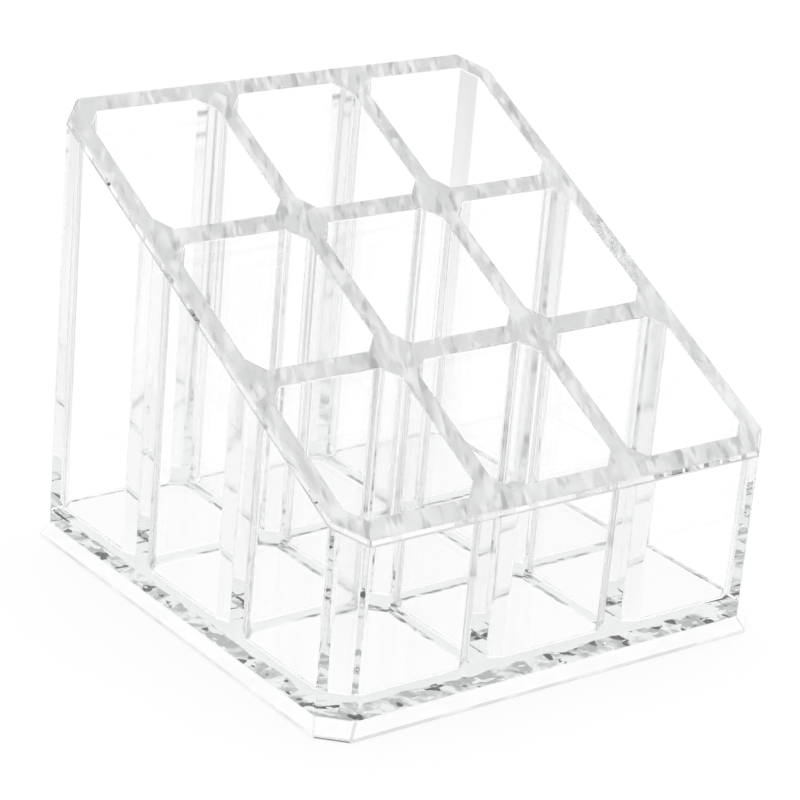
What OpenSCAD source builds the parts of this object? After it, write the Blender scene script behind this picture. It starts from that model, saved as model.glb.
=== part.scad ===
// Clear moulded vanity organizer: nine square pockets under one sloping top face, for lipsticks and brushes,
// bonded onto a wider base plate with a bevelled edge.
// Millimetres, +Z up, +X to the right, the low front wall towards -Y.
// The origin is the middle of the underside, on the surface that the organizer stands on.

/* [Pockets] */
// Number of pockets from left to right
columns = 3; // [1:1:5]
// Number of pockets from front to back
rows = 3; // [1:1:5]
// Width of a pocket at its floor, left to right
pocket_w = 25; // [20:0.5:32]
// Depth of a pocket at its floor, front to back
pocket_d = 25; // [20:0.5:32]
// Length that each cut-off corner takes from a pocket's sides
pocket_chamfer = 2.6; // [1:0.1:5]
// Radius that softens both upright edges of a cut-off corner of a pocket
pocket_edge_r = 0.5; // [0.3:0.1:2]
// Radius of the fillet between a pocket's walls and its floor
floor_fillet = 0.8; // [0.4:0.1:2.5]
// Lean of each pocket wall, outward from the floor to the top of the back wall
pocket_draft = 0.2; // [0:0.05:0.5]

/* [Walls] */
// Thickness of the outer walls at the pocket floors
wall_t = 4; // [2.5:0.05:5]
// Thickness of the dividers between pockets at the pocket floors
divider_t = 3.65; // [2.5:0.05:5]
// Thickness of the body's floor under the pockets
floor_t = 2.9; // [1.5:0.1:5]
// Height of the sloping top face at the front wall, above the surface
front_h = 33.5; // [22:0.1:45]
// Height of the sloping top face at the back wall, above the surface
back_h = 79; // [60:0.1:95]
// Length that each cut-off corner takes from the body's sides
body_chamfer = 4.7; // [3.5:0.1:6]
// Radius that softens both upright edges of a cut-off corner of the body
body_edge_r = 0.8; // [0.5:0.1:4]
// Bevel round the outer edge of the top face
rim_bevel = 0.6; // [0.2:0.1:1]

/* [Base plate] */
// Thickness of the base plate
plate_t = 2.9; // [2:0.1:5]
// Height of the upright lip below the plate's bevel
lip_h = 0.5; // [0.3:0.1:1.5]
// Distance that the plate stands out past the body on each side
plate_flare = 1; // [0.5:0.1:3]
// Length that each cut-off corner takes from the plate's sides
plate_chamfer = 4.3; // [3.5:0.1:6]
// Radius that softens both upright edges of a cut-off corner of the plate
plate_edge_r = 0.6; // [0.3:0.1:3]

/* [Bond] */
// Thickness of the cured cement between the body and the plate
bond_t = 0.1; // [0.05:0.05:0.3]
// Distance that the cement stops short of the body's outer faces
bond_inset = 0.4; // [0.2:0.1:1]

/* [Hidden] */

// A cutter passes this far beyond the face that it opens
overrun = 1;
// Facets of a quarter fillet at a pocket floor, and of a softened upright edge
fillet_steps = 4;
edge_steps = 2;

body_w = columns * pocket_w + (columns - 1) * divider_t + 2 * wall_t;
body_d = rows * pocket_d + (rows - 1) * divider_t + 2 * wall_t;
body_z = plate_t + bond_t;
floor_z = body_z + floor_t;
plate_w = body_w + 2 * plate_flare;
plate_d = body_d + 2 * plate_flare;
bond_chamfer = inset_chamfer(body_chamfer, bond_inset);

// Height of the sloping top face at a place y
function top_z(y) = front_h + (back_h - front_h) * (y + body_d / 2) / body_d;

// A 45 degree chamfer shortens by this rule when its outline moves inward
function inset_chamfer(chamfer, inset) = chamfer - inset * (2 - sqrt(2));

// Outline of a rectangle with cut-off corners whose eight edges are softened with radius r, anticlockwise.
// Each corner has two softened edges: one on its left or right side, one on its front or back side.
function outline(w, d, chamfer, r) =
    let (hx = w / 2 - r, hy = d / 2 - r, c = inset_chamfer(chamfer, r))
    [for (quarter = [0:3], second = [0, 1])
        let (side_x = (quarter == 0 || quarter == 3) ? 1 : -1,
             side_y = quarter < 2 ? 1 : -1,
             on_side = (quarter + second) % 2 == 0,
             centre = [side_x * (on_side ? hx : hx - c), side_y * (on_side ? hy - c : hy)])
        for (i = [0:edge_steps])
            let (a = 90 * quarter + 45 * second + 45 * i / edge_steps)
            centre + r * [cos(a), sin(a)]];

// Distance from the centre to the side whose outward normal has this angle, for a rectangle with cut-off corners
function side_distance(w, d, chamfer, angle) =
    angle % 90 != 0 ? (w / 2 + d / 2 - chamfer) / sqrt(2) : (angle % 180 == 0 ? w : d) / 2;

// Everything below a plane through a point, down and out to the given reach
module below(point, normal, reach) {
    translate(point)
        rotate([0, acos(normal[2] / norm(normal)), atan2(normal[1], normal[0])])
            translate([-reach, -reach, -2 * reach])
                cube([2 * reach, 2 * reach, 2 * reach]);
}

// Outline of a pocket whose walls have moved inward from their place at the floor's height, or outward if negative
function pocket_outline(inset) =
    outline(pocket_w - 2 * inset, pocket_d - 2 * inset, inset_chamfer(pocket_chamfer, inset), pocket_edge_r);

// Solid through a stack of level rings, each ring its height and its outline, from the lowest upward
module loft(rings) {
    n = len(rings[0][1]);
    last = len(rings) - 1;
    points = [for (ring = rings, p = ring[1]) [p[0], p[1], ring[0]]];
    sides = [for (k = [0:last - 1], i = [0:n - 1])
        let (j = (i + 1) % n)
        [k * n + i, (k + 1) * n + i, (k + 1) * n + j, k * n + j]];
    polyhedron(points = points, faces = concat(
        [[for (i = [0:n - 1]) i]],
        sides,
        [[for (i = [n - 1:-1:0]) last * n + i]]));
}

// One pocket: a floor, a fillet all round it, and walls that lean outward up to the height of the back wall
module pocket() {
    fillet = [for (i = [0:fillet_steps])
        let (a = 90 * i / fillet_steps)
        [floor_z + floor_fillet * (1 - cos(a)), pocket_outline(floor_fillet * (1 - sin(a)))]];
    loft(concat(fillet, [[back_h + overrun, pocket_outline(-pocket_draft)]]));
}

// Outer form of the body: upright walls under the sloping top face, with a bevel over each of the eight sides
module body_form() {
    slope = (back_h - front_h) / body_d;
    intersection() {
        translate([0, 0, body_z])
            linear_extrude(height = back_h)
                polygon(outline(body_w, body_d, body_chamfer, body_edge_r));
        below([0, 0, top_z(0)], [0, -slope, 1], body_w + body_d);
        intersection_for (angle = [0:45:315])
            let (out = [cos(angle), sin(angle)],
                 reach = side_distance(body_w, body_d, body_chamfer, angle) - rim_bevel)
            below([reach * out[0], reach * out[1], top_z(reach * out[1])],
                  [out[0], out[1] - slope, 1], body_w + body_d);
    }
}

module pocket_body() {
    color([0.93, 0.96, 0.96, 0.45])
        difference() {
            body_form();
            for (column = [0:columns - 1], row = [0:rows - 1])
                translate([
                    (column - (columns - 1) / 2) * (pocket_w + divider_t),
                    (row - (rows - 1) / 2) * (pocket_d + divider_t),
                    0])
                    pocket();
        }
}

// The plate's lip is upright, and above it eight bevelled sides lead up to the foot of the body's walls
module base_plate() {
    color([0.9, 0.94, 0.94, 0.45])
        intersection() {
            linear_extrude(height = plate_t)
                polygon(outline(plate_w, plate_d, plate_chamfer, plate_edge_r));
            intersection_for (angle = [0:45:315])
                let (out = [cos(angle), sin(angle)],
                     foot = side_distance(plate_w, plate_d, plate_chamfer, angle),
                     wall = side_distance(body_w, body_d, body_chamfer, angle))
                below([foot * out[0], foot * out[1], lip_h],
                      [(plate_t - lip_h) * out[0], (plate_t - lip_h) * out[1], foot - wall],
                      plate_w + plate_d);
        }
}

module bond_film() {
    color([0.78, 0.8, 0.8, 0.6])
        translate([0, 0, plate_t])
            linear_extrude(height = bond_t)
                polygon(outline(body_w - 2 * bond_inset, body_d - 2 * bond_inset, bond_chamfer, body_edge_r));
}

pocket_body();
base_plate();
bond_film();
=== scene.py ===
"""Clear moulded vanity organizer: nine pockets under one sloping top face, bonded onto a bevelled base plate.

Sizes and places are in millimetres, in the part's own frame, and each finished mesh is brought to metres.
"""

from functools import partial
from math import cos, radians, sin, sqrt

import bmesh
import bpy
from mathutils import Matrix, Vector


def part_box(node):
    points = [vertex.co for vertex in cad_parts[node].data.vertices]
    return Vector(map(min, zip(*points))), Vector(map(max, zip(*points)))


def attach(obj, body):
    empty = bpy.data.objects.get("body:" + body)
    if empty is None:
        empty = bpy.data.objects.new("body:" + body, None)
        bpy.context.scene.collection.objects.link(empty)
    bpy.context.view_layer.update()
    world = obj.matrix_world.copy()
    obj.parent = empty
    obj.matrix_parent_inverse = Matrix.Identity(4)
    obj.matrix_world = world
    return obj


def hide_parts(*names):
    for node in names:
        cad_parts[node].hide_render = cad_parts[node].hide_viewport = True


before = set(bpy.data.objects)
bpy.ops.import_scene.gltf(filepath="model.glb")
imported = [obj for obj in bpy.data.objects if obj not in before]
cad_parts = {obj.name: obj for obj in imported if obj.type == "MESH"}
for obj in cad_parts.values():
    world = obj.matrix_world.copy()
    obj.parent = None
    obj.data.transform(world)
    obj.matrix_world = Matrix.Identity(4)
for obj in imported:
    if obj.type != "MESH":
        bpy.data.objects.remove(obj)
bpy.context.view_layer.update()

MM = 0.001

# The body's sizes. Its outer width and its height above the table are read from its part in model.glb.
COLUMNS = 3
ROWS = 3
POCKET = 25.0
POCKET_CHAMFER = 2.6
POCKET_EDGE_R = 0.5
POCKET_DRAFT = 0.2
DIVIDER = 3.65
FLOOR_T = 2.9
FLOOR_FILLET = 0.8
FRONT_H = 33.5
BACK_H = 79.0
BODY_CHAMFER = 4.7
BODY_EDGE_R = 0.8
RIM_BEVEL = 0.6
RIM_SOFTENING = 0.15

# The pockets' draft is reached this far above the back wall
DRAFT_OVERRUN = 1.0

# Points of the rim's softened edge, in shares of its softening: inward from the wall, below the bevel's foot
SOFT_EDGE_SHARES = ((0.0, 1.0), (0.12, 0.4), (0.71, -0.71))

# The base plate's sizes
LIP_H = 0.5
PLATE_CHAMFER = 4.3
PLATE_EDGE_R = 0.6
PLATE_SOFTENING = 0.15

# The cement stops short of the body's sides, and clears the faces above and below it.
# Its mottled band is this wide at the front and left, and at the back and right.
CEMENT_INSET = 0.4
CEMENT_CLEARANCE = 0.02
BAND_NEAR = 8.5
BAND_FAR = 6.0

body_low, body_high = (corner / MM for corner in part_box("pocket_body"))
plate_low, plate_high = (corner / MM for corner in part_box("base_plate"))
BODY_W = body_high.x - body_low.x
BODY_Z = body_low.z
PLATE_W = plate_high.x - plate_low.x
PLATE_T = plate_high.z
FLOOR_Z = BODY_Z + FLOOR_T
PITCH = POCKET + DIVIDER
SLOPE = (BACK_H - FRONT_H) / BODY_W

# Facets of a softened upright edge, of a floor fillet and of a pocket's softened mouth
EDGE_STEPS = 3
FILLET_STEPS = 8
MOUTH_STEPS = 4

# Faces that meet at less than this angle are shaded as one. Where they do, the larger face sets the normals.
SHARP = radians(35)
LARGE_FACE_WEIGHT = 100

# Places of the finishes in a piece's list of materials. The corner one is for the pockets' cut-off corners
# and the plate's darkest edges, and the moulded one for the body's top and the plate's underside.
CLEAR, BONDED, EDGE, CORNER, MOULDED = range(5)

# Clear polystyrene: what each of its faces lets through, and what its inside takes of the light, per metre
PLASTIC_IOR = 1.58
TINT = (0.998, 0.999, 0.999)
INNER_TINT = (0.9, 0.9, 0.9)
INNER_DENSITY = 9.0

# The scale of each pattern below is per metre, and a height share under 1 draws it out upward.
# A pair of limits says at which values of a pattern its grey starts and is at its full.
PATTERN_MIDDLE = 0.5

# Polished faces: the depth of their relief, and in it the fainter lines that run up the walls
BODY_RIPPLE = 0.003
PLATE_RIPPLE = 0.002
RIPPLE_SCALE = 90.0
LINES_SCALE = 700.0
LINES_HEIGHT_SHARE = 0.25
LINES_DEPTH_SHARE = 0.25

# The moulded top face: its waves, its light patches and streaks of painted reflection, and its dark streaks
# of painted shade.
# Each pattern is so many times as long as it is wide, and all are turned alike.
# The shares say how far the wavy plastic gives way to the matt light one and to the dark one.
TOP_TINT = (0.99, 0.992, 0.992)
TOP_ROUGHNESS = 0.3
TOP_TURN = radians(-25)
TOP_DETAIL = 1.0
WAVE_DEPTH = 0.05
WAVE_SCALE = 260.0
WAVE_LENGTH = 2.5
PATCH_SCALE = 400.0
PATCH_LENGTH = 2.5
STREAK_SCALE = 850.0
STREAK_LENGTH = 3.5
LIGHT_LIMITS = (0.54, 0.68)
LIGHT_SHARES = (0.18, 0.7)
PAINTED_REFLECTION_GREY = (0.96, 0.965, 0.965)
DARK_SCALE = 650.0
DARK_LENGTH = 4.0
DARK_LIMITS = (0.58, 0.68)
DARK_SHARE = 0.6
PAINTED_SHADE_TINT = (0.4, 0.4, 0.4)

# The pockets' cut-off corners: fine upright lines of painted shade, which show more at a low angle
CORNER_SCALE = 1600.0
CORNER_HEIGHT_SHARE = 0.02
CORNER_LIMITS = (0.35, 0.65)
CORNER_SHARES = (0.05, 0.4)
CORNER_ANGLES = (0.1, 0.6)
CORNER_PAINTED_SHADE = (0.55, 0.55, 0.55)
CORNER_ROUGHNESS = 0.08

# Softened edges, rougher where worn and tinted grey as painted shade: the rim's and the pockets' mouths, and
# the darker ones at the plate's foot, a painted contact shadow
WEAR_AND_SHADE_SCALE = 140.0
WEAR_AND_SHADE_LIMITS = (0.35, 0.6)
WORN_ROUGHNESS = 0.25
UNWORN_ROUGHNESS = 0.05
EDGE_PAINTED_SHADE = (0.6, 0.6, 0.6)
EDGE_LEAST = 0.3
FOOT_PAINTED_SHADOW = (0.06, 0.06, 0.06)
FOOT_LEAST = 0.9

# The matt underside, and how much of it mirrors
UNDERSIDE_SHARE = 0.08
UNDERSIDE_ROUGHNESS = 0.1

# The cement's grey, partly painted shade, shows only at a low angle, which starts and is at its full here,
# where 0 is straight on
LOW_ANGLE = (0.22, 0.4)

# The dry gaps over and under the cement, and the shares of the band's width at which they end
GAP_SCALE = 300.0
GAP_DETAIL = 1.0
GAP_FROM = 0.6
GAP_END = (0.9, 1.1)

# The cement's colours: clear, seen straight on and at a low angle, and its grey mottles and dark blobs, which
# are partly its own and partly painted shade
CEMENT_STRAIGHT_ON = (0.995, 0.995, 0.995)
CEMENT_AT_LOW_ANGLE = (0.935, 0.94, 0.94)
CEMENT_GREY_AND_SHADE = (0.68, 0.69, 0.69)
CEMENT_DARK_AND_SHADE = (0.36, 0.36, 0.36)

# The cement's patterns. Mottles and blobs lie square to the edge, and are this share of their length wide.
MOTTLE_SCALE = 230.0
MOTTLE_DETAIL = 3.0
MOTTLE_DISTORTION = 0.5
MOTTLE_LIMITS = (0.42, 0.58)
BLOB_SCALE = 340.0
BLOB_DETAIL = 1.0
BLOB_LIMITS = (0.61, 0.63)
INWARD_SHARE = 0.3
INWARD_ROUGHNESS = 0.6
DOT_SCALE = 420.0
DOT_LIMITS = (0.5, 0.54)

# Where the band ends and where the dots under the dividers start, as shares of the band's width.
# The band's end wanders with a pattern of its own.
BAND_WANDER_SCALE = 200.0
BAND_END = (0.95, 1.05)
DIVIDERS_START = (1.9, 2.1)

# The room's plain white, and its share in the floor that the camera sees. The rest is matt and shows shadows.
WHITE = 1.04
FLOOR_WHITE_SHARE = 0.85
FLOOR_COLOUR = (0.9, 0.9, 0.9)
FLOOR_HALF = 2500.0
TABLE_GAP = 0.15

# The room that the plastic mirrors: heights, from 0 straight down over 0.5 level to 1 straight up, and greys
ROOM = ((0.0, WHITE), (0.5, WHITE), (0.502, 0.85), (0.62, 0.65), (0.75, 0.65), (0.83, 0.9), (1.0, 0.9))

# The soft lamp
LAMP_PLACE = (200.0, 300.0, 1300.0)
LAMP_SIZE = 800.0
LAMP_WATTS = 4.0

# The camera, fitted to the photograph. It looks at a point in the body from this distance.
CAMERA_AZIMUTH = radians(38.65)
CAMERA_ELEVATION = radians(21.47)
CAMERA_ROLL = radians(5.10)
CAMERA_AIM = (0.0, 1.0, 35.1)
CAMERA_DISTANCE = 499.1
CAMERA_LENS = 131.4
CAMERA_SENSOR = 36
CAMERA_SHIFT = (-0.00434, -0.01447)
CAMERA_CLIP = 10.0

# A ray crosses this many faces at most
BOUNCES = 64


def top_z(y):
    """Height of the sloping top face at a place y."""
    return FRONT_H + SLOPE * (y + BODY_W / 2)


def outline(width, chamfer, radius, inset=0.0):
    """Square with cut-off corners and eight softened edges, anticlockwise, moved inward by inset."""
    half = width / 2 - inset - radius
    cut = chamfer - (inset + radius) * (2 - sqrt(2))
    points = []
    for quarter in range(4):
        side_x = 1 if quarter in (0, 3) else -1
        side_y = 1 if quarter < 2 else -1
        for second in range(2):
            on_side = (quarter + second) % 2 == 0
            centre_x = side_x * (half if on_side else half - cut)
            centre_y = side_y * (half - cut if on_side else half)
            for i in range(EDGE_STEPS + 1):
                a = radians(90 * quarter + 45 * second + 45 * i / EDGE_STEPS)
                points.append((centre_x + radius * cos(a), centre_y + radius * sin(a)))
    return points


def level(points, z):
    """The points of an outline at one height."""
    return [(x, y, z) for x, y in points]


def quarter_round(steps):
    """Pairs that go from (1, 0) to (0, 1) along a quarter circle."""
    turns = [radians(90 * i / steps) for i in range(steps + 1)]
    return [(cos(a), sin(a)) for a in turns]


def bridge(mesh, lower, upper, inward, finish):
    """Quads between two outlines' rings of vertices, facing outward from the rings or inward.

    A finish is one number for all the quads, or three: for the sides, softened edges and cut-off corners.
    """
    sides, edges, corners = finish if isinstance(finish, tuple) else (finish, finish, finish)
    count = len(lower)
    for i in range(count):
        j = (i + 1) % count
        loop = [lower[i], lower[j], upper[j], upper[i]]
        face = mesh.faces.new(loop[::-1] if inward else loop)
        flat, within_edge = divmod(j, EDGE_STEPS + 1)
        face.material_index = edges if within_edge else (corners if flat % 2 else sides)


def stack(mesh, rings, finishes, inward=False):
    """Vertices for a stack of rings of points, joined by quads from ring to ring in the given finishes."""
    made = [[mesh.verts.new(point) for point in points] for points in rings]
    for lower, upper, finish in zip(made, made[1:], finishes):
        bridge(mesh, lower, upper, inward, finish)
    return made


def evaluated_mesh(piece):
    """A plain mesh of what a piece's modifiers make."""
    return bpy.data.meshes.new_from_object(piece.evaluated_get(bpy.context.evaluated_depsgraph_get()))


def mesh_piece(mesh, name, materials):
    """Object in metres from a mesh in millimetres, smooth, with normals that keep the flat faces flat."""
    bmesh.ops.recalc_face_normals(mesh, faces=mesh.faces)
    for edge in mesh.edges:
        edge.smooth = edge.calc_face_angle(0.0) < SHARP
    for face in mesh.faces:
        face.smooth = True
    data = bpy.data.meshes.new(name)
    mesh.to_mesh(data)
    mesh.free()
    piece = bpy.data.objects.new(name, data)
    bpy.context.collection.objects.link(piece)
    flat = piece.modifiers.new("flat_faces", "WEIGHTED_NORMAL")
    flat.weight = LARGE_FACE_WEIGHT
    flat.keep_sharp = True
    finished = evaluated_mesh(piece)
    piece.modifiers.remove(flat)
    piece.data = finished
    bpy.data.meshes.remove(data)
    finished.name = name
    for material in materials:
        finished.materials.append(material)
    finished.transform(Matrix.Scale(MM, 4))
    return piece


def pocket_shell():
    """The walls and floor of the pocket in the middle, open at the top.

    A pocket further back has its mouth higher up the slope. Its floor stays, and its leaning walls go on up.
    So each point has a stretch, which is what it moves for each millimetre that the top face rises.
    """
    wall = outline(POCKET, POCKET_CHAMFER, POCKET_EDGE_R)
    one_wider = outline(POCKET, POCKET_CHAMFER, POCKET_EDGE_R, inset=-1.0)
    outward = [(wide[0] - near[0], wide[1] - near[1]) for near, wide in zip(wall, one_wider)]
    wall_z = FLOOR_Z + FLOOR_FILLET
    lean = POCKET_DRAFT / (BACK_H + DRAFT_OVERRUN - wall_z)

    def mouth(outset, drop):
        """The mouth's ring that lies outset from the wall and drop below the top face."""
        points = []
        for (x, y), (out_x, out_y) in zip(wall, outward):
            rise = (top_z(y + outset * out_y) - drop - wall_z) / (1 - SLOPE * lean * out_y)
            out = outset + lean * rise
            points.append((x + out * out_x, y + out * out_y, wall_z + rise))
        return points

    rings = []
    for across, along in quarter_round(FILLET_STEPS):
        ring = outline(POCKET, POCKET_CHAMFER, POCKET_EDGE_R, FLOOR_FILLET * (1 - along))
        rings.append(level(ring, FLOOR_Z + FLOOR_FILLET * (1 - across)))
    still = len(rings)
    for across, along in quarter_round(MOUTH_STEPS):
        rings.append(mouth(RIM_SOFTENING * (1 - across), RIM_SOFTENING * (1 - along)))
    mesh = bmesh.new()
    finishes = [CLEAR] * FILLET_STEPS + [(CLEAR, EDGE, CORNER)] + [CLEAR] * MOUTH_STEPS
    made = stack(mesh, rings, finishes, inward=True)
    mesh.faces.new(made[0])
    data = bpy.data.meshes.new("pocket_shell")
    mesh.to_mesh(data)
    mesh.free()
    stretch = []
    for k in range(len(rings)):
        for out_x, out_y in outward:
            up = 1 / (1 - SLOPE * lean * out_y) if k >= still else 0.0
            stretch += [lean * out_x * up, lean * out_y * up, up]
    data.attributes.new("stretch", "FLOAT_VECTOR", "POINT").data.foreach_set("vector", stretch)
    cut_off = [face.material_index == CORNER for face in data.polygons]
    data.attributes.new("cut_off", "BOOLEAN", "FACE").data.foreach_set("value", cut_off)
    for face in data.polygons:
        face.material_index = 0
    return data


def add_node(tree, kind, fields=None, **settings):
    """A node with its settings, and with values or other nodes' outputs in its sockets."""
    node = tree.nodes.new(kind)
    for key, value in settings.items():
        setattr(node, key, value)
    for socket, value in (fields or {}).items():
        if isinstance(value, bpy.types.NodeSocket):
            tree.links.new(value, node.inputs[socket])
        else:
            node.inputs[socket].default_value = value
    return node


def pocket_array_tree():
    """Geometry Nodes that set a pocket in each place of a grid and lead its mouth up to the top face."""
    tree = bpy.data.node_groups.new("pocket_array", "GeometryNodeTree")
    add = partial(add_node, tree)
    sockets = tree.interface
    sockets.new_socket("Pocket", in_out="INPUT", socket_type="NodeSocketGeometry")
    inputs = {}
    for name, kind in (("Columns", "Int"), ("Rows", "Int"), ("Pitch", "Float"), ("Slope", "Float"),
                       ("Walls", "Material"), ("Corners", "Material")):
        inputs[name] = sockets.new_socket(name, in_out="INPUT", socket_type="NodeSocket" + kind).identifier
    sockets.new_socket("Pockets", in_out="OUTPUT", socket_type="NodeSocketGeometry")

    def attribute(name, kind):
        """What a named attribute holds at each place."""
        return add("GeometryNodeInputNamedAttribute", {"Name": name}, data_type=kind).outputs["Attribute"]

    given = add("NodeGroupInput").outputs

    def span(count):
        """Distance from the first to the last of a row of places."""
        gaps = add("ShaderNodeMath", {0: given[count], 1: 1.0}, operation="SUBTRACT").outputs[0]
        return add("ShaderNodeMath", {0: gaps, 1: given["Pitch"]}, operation="MULTIPLY").outputs[0]

    grid = add("GeometryNodeMeshGrid", {"Size X": span("Columns"), "Size Y": span("Rows"),
                                        "Vertices X": given["Columns"], "Vertices Y": given["Rows"]})
    position = add("GeometryNodeInputPosition").outputs[0]
    places = add("GeometryNodeStoreNamedAttribute", data_type="FLOAT_VECTOR", domain="POINT", fields={
        "Geometry": grid.outputs["Mesh"], "Name": "centre", "Value": position})
    copies = add("GeometryNodeInstanceOnPoints", {"Points": places.outputs[0], "Instance": given["Pocket"]})
    real = add("GeometryNodeRealizeInstances", {0: copies.outputs[0]})
    centre = add("ShaderNodeSeparateXYZ", {0: attribute("centre", "FLOAT_VECTOR")})
    rise = add("ShaderNodeMath", {0: centre.outputs["Y"], 1: given["Slope"]}, operation="MULTIPLY")
    shift = add("ShaderNodeVectorMath", operation="SCALE", fields={
        0: attribute("stretch", "FLOAT_VECTOR"), "Scale": rise.outputs[0]})
    raised = add("GeometryNodeSetPosition", {"Geometry": real.outputs[0], "Offset": shift.outputs[0]})
    walls = add("GeometryNodeSetMaterial", {"Geometry": raised.outputs[0], "Material": given["Walls"]})
    corners = add("GeometryNodeSetMaterial", {"Geometry": walls.outputs[0], "Material": given["Corners"],
                                              "Selection": attribute("cut_off", "BOOLEAN")})
    add("NodeGroupOutput", {0: corners.outputs[0]})
    return tree, inputs


def pocket_mesh(walls, corners):
    """All the pockets as one plain mesh."""
    holder = bpy.data.objects.new("pockets", pocket_shell())
    bpy.context.collection.objects.link(holder)
    array = holder.modifiers.new("pocket_array", "NODES")
    array.node_group, inputs = pocket_array_tree()
    for name, value in (("Columns", COLUMNS), ("Rows", ROWS), ("Pitch", PITCH), ("Slope", SLOPE),
                        ("Walls", walls), ("Corners", corners)):
        array[inputs[name]] = value
    pockets = evaluated_mesh(holder)
    bpy.data.objects.remove(holder)
    for face in pockets.polygons:
        face.material_index = CORNER if pockets.materials[face.material_index] == corners else CLEAR
    for name in ("stretch", "centre", "cut_off"):
        pockets.attributes.remove(pockets.attributes[name])
    return pockets


def make_body(materials):
    """The block of pockets: outer walls, a bevelled rim, the pockets, and the top face round their mouths."""
    # The rim's profile, as distances inward and down: the bevel's softened lower edge and its mirror image
    lower = [(RIM_SOFTENING * inward, RIM_BEVEL + RIM_SOFTENING * down) for inward, down in SOFT_EDGE_SHARES]
    profile = lower + [(down, inward) for inward, down in reversed(lower)]
    rings = [level(outline(BODY_W, BODY_CHAMFER, BODY_EDGE_R), BODY_Z)]
    for inset, drop in profile:
        ring = outline(BODY_W, BODY_CHAMFER, BODY_EDGE_R, inset)
        rings.append([(x, y, top_z(y) - drop) for x, y in ring])
    mesh = bmesh.new()
    outer = stack(mesh, rings, [CLEAR, EDGE, EDGE, CLEAR, MOULDED, MOULDED])
    mesh.faces.new(outer[0][::-1]).material_index = BONDED
    mesh.from_mesh(pocket_mesh(materials[CLEAR], materials[CORNER]))
    open_edges = [edge for edge in mesh.edges if edge.is_boundary]
    upward = Vector((0, -SLOPE, 1)).normalized()
    filled = bmesh.ops.triangle_fill(mesh, use_beauty=True, edges=open_edges, normal=upward)
    for face in filled["geom"]:
        if isinstance(face, bmesh.types.BMFace):
            face.material_index = MOULDED
    return mesh_piece(mesh, "organizer_body", materials)


def make_plate(materials):
    """The base plate: an upright lip, softened at both edges, under a bevel that leads up to the walls."""
    soft = PLATE_SOFTENING
    foot = outline(PLATE_W, PLATE_CHAMFER, PLATE_EDGE_R, soft)
    lip = outline(PLATE_W, PLATE_CHAMFER, PLATE_EDGE_R)
    wall = outline(BODY_W, BODY_CHAMFER, BODY_EDGE_R)
    # The bevel starts a little way up it, at a share of its rise that its softened lower edge takes
    share = soft / (PLATE_T - LIP_H)
    bevel = [(a[0] + (b[0] - a[0]) * share, a[1] + (b[1] - a[1]) * share) for a, b in zip(lip, wall)]
    rings = [level(foot, 0.0), level(lip, soft), level(lip, LIP_H - soft), level(bevel, LIP_H + soft),
             level(wall, PLATE_T)]
    mesh = bmesh.new()
    made = stack(mesh, rings, [CORNER, (EDGE, EDGE, CORNER), EDGE, (CLEAR, EDGE, CLEAR)])
    mesh.faces.new(made[0][::-1]).material_index = MOULDED
    mesh.faces.new(made[-1]).material_index = BONDED
    return mesh_piece(mesh, "organizer_plate", materials)


def make_cement(material):
    """The cured cement, a thin slab between the plate and the body."""
    points = outline(BODY_W, BODY_CHAMFER, BODY_EDGE_R, CEMENT_INSET)
    rings = [level(points, PLATE_T + CEMENT_CLEARANCE), level(points, BODY_Z - CEMENT_CLEARANCE)]
    mesh = bmesh.new()
    made = stack(mesh, rings, [CLEAR])
    mesh.faces.new(made[0][::-1])
    mesh.faces.new(made[-1])
    return mesh_piece(mesh, "cured_cement", [material])


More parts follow.
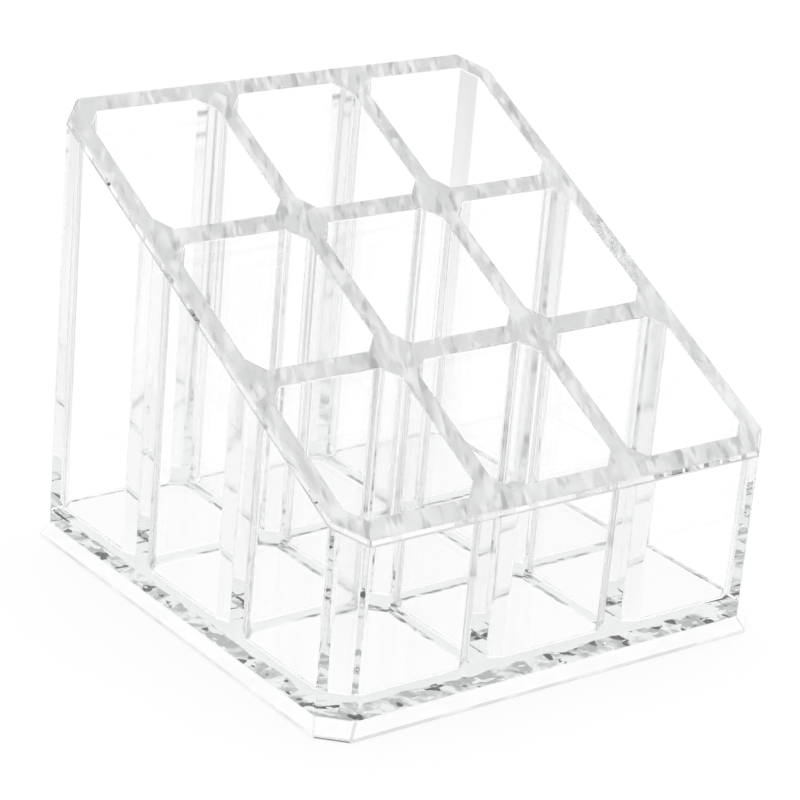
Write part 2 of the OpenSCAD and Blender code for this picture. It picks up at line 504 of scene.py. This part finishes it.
class Nodes:
    """A material's or the world's node tree, with short calls for making and joining nodes."""

    def __init__(self, owner):
        owner.use_nodes = True
        self.owner = owner
        owner.node_tree.nodes.clear()
        self.add = partial(add_node, owner.node_tree)

    def math(self, operation, a, b=0.0):
        """One step of arithmetic. Some steps use no second value."""
        return self.add("ShaderNodeMath", {0: a, 1: b}, operation=operation).outputs[0]

    def ramp(self, value, low, high, at_low=0.0, at_high=1.0):
        """A value led evenly from at_low to at_high as it goes from low to high, and held outside them."""
        return self.add("ShaderNodeMapRange", {"Value": value, "From Min": low, "From Max": high,
                                               "To Min": at_low, "To Max": at_high}).outputs[0]

    def place(self, scale=(1, 1, 1)):
        """Object coordinates, scaled."""
        coordinates = self.add("ShaderNodeTexCoord").outputs["Object"]
        return self.add("ShaderNodeMapping", {"Vector": coordinates, "Scale": scale}).outputs[0]

    def drawn_out(self, length, turn):
        """Object coordinates in which a pattern is length times as long along Y, turned about Z."""
        coordinates = self.add("ShaderNodeTexCoord").outputs["Object"]
        return self.add("ShaderNodeMapping", {"Vector": coordinates, "Scale": (1, length, length),
                                              "Rotation": (0, 0, turn)}, vector_type="TEXTURE").outputs[0]

    def low_angle(self, low, high):
        """0 where the surface is seen nearly straight on, 1 at a low angle."""
        return self.ramp(self.add("ShaderNodeLayerWeight").outputs["Facing"], low, high)

    def axes(self):
        """The three object coordinates, apart."""
        coordinates = self.add("ShaderNodeTexCoord").outputs["Object"]
        return self.add("ShaderNodeSeparateXYZ", {0: coordinates}).outputs

    def noise(self, place, scale, detail=2.0, roughness=0.5, distortion=0.0):
        """A cloudy pattern, mostly between 0.3 and 0.7."""
        fields = {"Vector": place, "Scale": scale, "Detail": detail, "Roughness": roughness,
                  "Distortion": distortion}
        return self.add("ShaderNodeTexNoise", fields).outputs["Fac"]

    def bump(self, height, depth):
        """A normal for a relief that is depth millimetres deep."""
        return self.add("ShaderNodeBump", {"Height": height, "Distance": depth * MM}).outputs[0]

    def clear(self, tint, roughness=0.0, normal=None):
        """Clear plastic."""
        fields = {"Base Color": (*tint, 1), "Transmission Weight": 1.0, "Roughness": roughness,
                  "IOR": PLASTIC_IOR}
        if normal:
            fields["Normal"] = normal
        return self.add("ShaderNodeBsdfPrincipled", fields).outputs[0]

    def film(self, colour=(1, 1, 1)):
        """A film that light crosses unbent."""
        return self.add("ShaderNodeBsdfTransparent", {"Color": (*colour, 1)}).outputs[0]

    def matt(self, colour):
        """A matt surface."""
        return self.add("ShaderNodeBsdfDiffuse", {"Color": (*colour, 1)}).outputs[0]

    def glow(self, strength):
        """A surface that shows white by itself."""
        return self.add("ShaderNodeEmission", {"Color": (1, 1, 1, 1), "Strength": strength}).outputs[0]

    def blend(self, share, first, second):
        """The first shader, and the second in its place by share."""
        return self.add("ShaderNodeMixShader", {0: share, 1: first, 2: second}).outputs[0]

    def plastic(self, shader):
        """The material of a face of clear plastic, whose inside takes a little of the light on a long way."""
        inside = self.add("ShaderNodeVolumeAbsorption", {"Color": (*INNER_TINT, 1), "Density": INNER_DENSITY})
        self.add("ShaderNodeOutputMaterial", {"Surface": shader, "Volume": inside.outputs[0]})
        return self.owner

    def finish(self, shader, kind="ShaderNodeOutputMaterial"):
        """The material or the world, done."""
        self.add(kind, {"Surface": shader})
        return self.owner


def material_nodes(name):
    """The empty node tree of a new material."""
    return Nodes(bpy.data.materials.new(name))


def polished(name, ripple):
    """Polished clear plastic with a faint ripple, and fainter lines that run up its walls."""
    n = material_nodes(name)
    lines = n.noise(n.place((1, 1, LINES_HEIGHT_SHARE)), LINES_SCALE)
    height = n.math("ADD", n.noise(n.place(), RIPPLE_SCALE), n.math("MULTIPLY", lines, LINES_DEPTH_SHARE))
    return n.plastic(n.clear(TINT, normal=n.bump(height, ripple)))


def top_with_painted_streaks():
    """The top face as it leaves the mould, wavy and a little rough, with light grey patches and streaks of
    painted reflection and dark streaks of painted shade across it.
    """
    n = material_nodes("top_with_painted_streaks")

    def streaky(length, scale):
        """A pattern of strokes that all run the same way."""
        return n.noise(n.drawn_out(length, TOP_TURN), scale, TOP_DETAIL)

    wavy = n.clear(TOP_TINT, TOP_ROUGHNESS, n.bump(streaky(WAVE_LENGTH, WAVE_SCALE), WAVE_DEPTH))
    lightest = n.math("MAXIMUM", streaky(STREAK_LENGTH, STREAK_SCALE), streaky(PATCH_LENGTH, PATCH_SCALE))
    light = n.ramp(lightest, *LIGHT_LIMITS, *LIGHT_SHARES)
    dark = n.ramp(streaky(DARK_LENGTH, DARK_SCALE), *DARK_LIMITS, 0.0, DARK_SHARE)
    # The matt light grey patches and streaks are painted reflection, and the dark streaks blended in below
    # are painted shade
    cloudy = n.blend(light, wavy, n.matt(PAINTED_REFLECTION_GREY))
    return n.plastic(n.blend(dark, cloudy, n.clear(PAINTED_SHADE_TINT, TOP_ROUGHNESS)))


def corner_painted_shade():
    """A pocket's cut-off corner, which polishing misses, so a little rough, with upright grey lines of
    painted shade, clearer at a low angle.
    """
    n = material_nodes("corner_painted_shade")
    pattern = n.noise(n.place((1, 1, CORNER_HEIGHT_SHARE)), CORNER_SCALE)
    lines = n.ramp(pattern, *CORNER_LIMITS, *CORNER_SHARES)
    share = n.math("MULTIPLY", lines, n.low_angle(*CORNER_ANGLES))
    return n.plastic(n.blend(share, n.clear(TINT, CORNER_ROUGHNESS), n.matt(CORNER_PAINTED_SHADE)))


def edge_wear_and_painted_shade(name, tint, least):
    """The slightly dull line along a softened edge, rougher where worn and tinted darker as painted shade,
    which comes and goes between its least share and all.
    """
    n = material_nodes(name)
    wear_and_shade = n.ramp(n.noise(n.place(), WEAR_AND_SHADE_SCALE), *WEAR_AND_SHADE_LIMITS, least, 1.0)
    return n.plastic(n.blend(wear_and_shade, n.clear(TINT, UNWORN_ROUGHNESS), n.clear(tint, WORN_ROUGHNESS)))


def matt_underside():
    """The plate's finely textured underside, which lets the table show through from every side."""
    n = material_nodes("matt_underside")
    return n.plastic(n.blend(UNDERSIDE_SHARE, n.film(), n.clear(TINT, UNDERSIDE_ROUGHNESS)))


def bonded_face():
    """A face that meets the cement: light crosses it unbent, but a dry gap mirrors at a low angle."""
    n = material_nodes("bonded_face")
    gaps = n.math("GREATER_THAN", n.noise(n.place((1, 1, 0)), GAP_SCALE, GAP_DETAIL), GAP_FROM)
    dry = n.math("MULTIPLY", gaps, n.ramp(cement_band(n), *GAP_END, 1.0, 0.0))
    return n.plastic(n.blend(n.math("MULTIPLY", dry, n.low_angle(*LOW_ANGLE)), n.film(), n.clear(TINT)))


def cement_band(n):
    """Share of the way from the body's outer faces to the inner limit of the cement's mottled band."""
    x, y, _ = n.axes()
    share = None
    for side_x, side_y in ((-1, 0), (0, -1), (1, 0), (0, 1), (-1, -1), (-1, 1), (1, -1), (1, 1)):
        length = sqrt(abs(side_x) + abs(side_y))
        reach = (BODY_W - BODY_CHAMFER) / sqrt(2) if side_x and side_y else BODY_W / 2
        width = BAND_NEAR if side_x + side_y < 0 else BAND_FAR
        out = n.math("ADD", n.math("MULTIPLY", x, side_x / length), n.math("MULTIPLY", y, side_y / length))
        this_side = n.math("MULTIPLY", n.math("SUBTRACT", reach * MM, out), 1 / (width * MM))
        share = this_side if share is None else n.math("MINIMUM", share, this_side)
    return share


def under_dividers(n):
    """1 under the dividers and the fillets at their feet, 0 elsewhere."""
    away = []
    for axis in n.axes()[:2]:
        past_middle = n.math("SUBTRACT", n.math("ABSOLUTE", axis), PITCH / 2 * MM)
        away.append(n.math("ABSOLUTE", past_middle))
    return n.math("LESS_THAN", n.math("MINIMUM", *away), (DIVIDER / 2 + FLOOR_FILLET) * MM)


def cement_mottles_and_painted_shade():
    """Cured clear cement, at a low angle mottled grey in a band along its edge and dotted under the dividers,
    partly its own mottles and voids and partly painted shade.

    Its mottles run square to the edge, so a pattern is drawn out one way at the front and back, and the other
    way at the sides.
    """
    n = material_nodes("cement_mottles_and_painted_shade")
    x, y, _ = n.axes()
    on_side = n.math("GREATER_THAN", n.math("ABSOLUTE", x), n.math("ABSOLUTE", y))

    def runs_inward(scale, detail, distortion=0.0):
        """A pattern whose patches are longer towards the middle than along the edge that they lie at."""
        front = n.noise(n.place((1, INWARD_SHARE, 0)), scale, detail, INWARD_ROUGHNESS, distortion)
        side = n.noise(n.place((INWARD_SHARE, 1, 0)), scale, detail, INWARD_ROUGHNESS, distortion)
        return n.math("ADD", n.math("MULTIPLY", front, n.math("SUBTRACT", 1.0, on_side)),
                      n.math("MULTIPLY", side, on_side))

    share = cement_band(n)
    low_angle = n.low_angle(*LOW_ANGLE)
    wander = n.math("SUBTRACT", n.noise(n.place((1, 1, 0)), BAND_WANDER_SCALE), PATTERN_MIDDLE)
    band = n.math("MULTIPLY", n.ramp(n.math("ADD", share, wander), *BAND_END, 1.0, 0.0), low_angle)
    inner = n.math("MULTIPLY", n.ramp(share, *DIVIDERS_START), low_angle)
    under = n.math("MULTIPLY", under_dividers(n), inner)
    foot = n.math("MAXIMUM", band, under)
    mottles = n.ramp(runs_inward(MOTTLE_SCALE, MOTTLE_DETAIL, MOTTLE_DISTORTION), *MOTTLE_LIMITS)
    blobs = n.ramp(runs_inward(BLOB_SCALE, BLOB_DETAIL), *BLOB_LIMITS)
    clear = n.blend(low_angle, n.film(CEMENT_STRAIGHT_ON), n.film(CEMENT_AT_LOW_ANGLE))
    grey = n.blend(n.math("MULTIPLY", foot, mottles), clear, n.film(CEMENT_GREY_AND_SHADE))
    dots = n.math("MULTIPLY", n.ramp(n.noise(n.place((1, 1, 0)), DOT_SCALE), *DOT_LIMITS), under)
    dark = n.math("MAXIMUM", n.math("MULTIPLY", band, blobs), dots)
    return n.finish(n.blend(dark, grey, n.film(CEMENT_DARK_AND_SHADE)))


def make_floor():
    """The white table. Seen directly it keeps the part's shadow, and through the plastic it is all white."""
    n = material_nodes("white_floor")
    path = n.add("ShaderNodeLightPath").outputs
    through = n.math("MAXIMUM", path["Is Glossy Ray"], path["Is Transmission Ray"])
    white = n.math("MAXIMUM", n.math("MULTIPLY", path["Is Camera Ray"], FLOOR_WHITE_SHARE), through)
    material = n.finish(n.blend(white, n.matt(FLOOR_COLOUR), n.glow(WHITE)))
    mesh = bmesh.new()
    corners = [(x * FLOOR_HALF, y * FLOOR_HALF) for x, y in ((-1, -1), (1, -1), (1, 1), (-1, 1))]
    mesh.faces.new([mesh.verts.new(corner) for corner in level(corners, -TABLE_GAP)])
    floor = mesh_piece(mesh, "floor", [material])


def make_room():
    """A pale studio: the camera sees white, and the plastic mirrors a room that is darker part way up."""
    world = bpy.data.worlds.new("studio")
    bpy.context.scene.world = world
    n = Nodes(world)
    direction = n.add("ShaderNodeSeparateXYZ", {0: n.add("ShaderNodeTexCoord").outputs["Generated"]}).outputs
    ramp = n.add("ShaderNodeValToRGB", {0: n.ramp(direction["Z"], -1.0, 1.0)})
    stops = ramp.color_ramp.elements
    for height, _ in ROOM[1:-1]:
        stops.new(height)
    for stop, (_, grey) in zip(stops, ROOM):
        stop.color = (grey, grey, grey, 1)
    room = n.add("ShaderNodeBackground", {"Color": ramp.outputs[0]}).outputs[0]
    white = n.add("ShaderNodeBackground", {"Color": (1, 1, 1, 1)}).outputs[0]
    seen = n.add("ShaderNodeLightPath").outputs["Is Camera Ray"]
    n.finish(n.blend(seen, room, white), "ShaderNodeOutputWorld")


def make_camera():
    """The photograph's view, from a fit of the part's own corners to it."""
    right = Vector((cos(CAMERA_AZIMUTH), -sin(CAMERA_AZIMUTH), 0))
    ahead = Vector((sin(CAMERA_AZIMUTH), cos(CAMERA_AZIMUTH), 0))
    back = Vector((0, 0, sin(CAMERA_ELEVATION))) - ahead * cos(CAMERA_ELEVATION)
    up = back.cross(right)
    turned_right = cos(CAMERA_ROLL) * right + sin(CAMERA_ROLL) * up
    turned_up = cos(CAMERA_ROLL) * up - sin(CAMERA_ROLL) * right
    data = bpy.data.cameras.new("camera")
    data.lens = CAMERA_LENS
    data.sensor_width = CAMERA_SENSOR
    data.shift_x, data.shift_y = CAMERA_SHIFT
    data.clip_start = CAMERA_CLIP * MM
    camera = bpy.data.objects.new("camera", data)
    bpy.context.collection.objects.link(camera)
    place = (Vector(CAMERA_AIM) + back * CAMERA_DISTANCE) * MM
    turn = Matrix((turned_right, turned_up, back)).transposed().to_4x4()
    camera.matrix_world = Matrix.Translation(place) @ turn
    bpy.context.scene.camera = camera


def make_lamp():
    """A round soft lamp over the table that points at the origin."""
    data = bpy.data.lights.new("soft_overhead", "AREA")
    data.shape = "DISK"
    data.size = LAMP_SIZE * MM
    data.energy = LAMP_WATTS
    lamp = bpy.data.objects.new("soft_overhead", data)
    bpy.context.collection.objects.link(lamp)
    lamp.location = Vector(LAMP_PLACE) * MM
    lamp.rotation_euler = (-lamp.location).to_track_quat("-Z", "Y").to_euler()


bonded = bonded_face()
# Softened edges tinted grey: painted shade, with rougher worn patches
edge_line = edge_wear_and_painted_shade("edge_wear_and_painted_shade", EDGE_PAINTED_SHADE, EDGE_LEAST)
# The plate's foot and its lip's cut-off corners turn nearly black: a painted contact shadow where it meets
# the table
plate_foot_painted_shadow = edge_wear_and_painted_shade("plate_foot_painted_shadow", FOOT_PAINTED_SHADOW, FOOT_LEAST)
body = make_body([polished("polished_body", BODY_RIPPLE), bonded, edge_line, corner_painted_shade(), top_with_painted_streaks()])
plate = make_plate([polished("polished_plate", PLATE_RIPPLE), bonded, edge_line, plate_foot_painted_shadow, matt_underside()])
cement = make_cement(cement_mottles_and_painted_shade())

for piece, node, slot in ((body, "pocket_body", "clear_body"), (plate, "base_plate", "clear_plate"),
                          (cement, "bond_film", "cured_cement")):
    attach(piece, "root")
    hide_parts(node)

make_floor()
make_room()
make_camera()
make_lamp()

scene = bpy.context.scene
scene.view_settings.view_transform = "Standard"
scene.cycles.max_bounces = BOUNCES
scene.cycles.transmission_bounces = BOUNCES
scene.cycles.glossy_bounces = BOUNCES
scene.cycles.transparent_max_bounces = BOUNCES
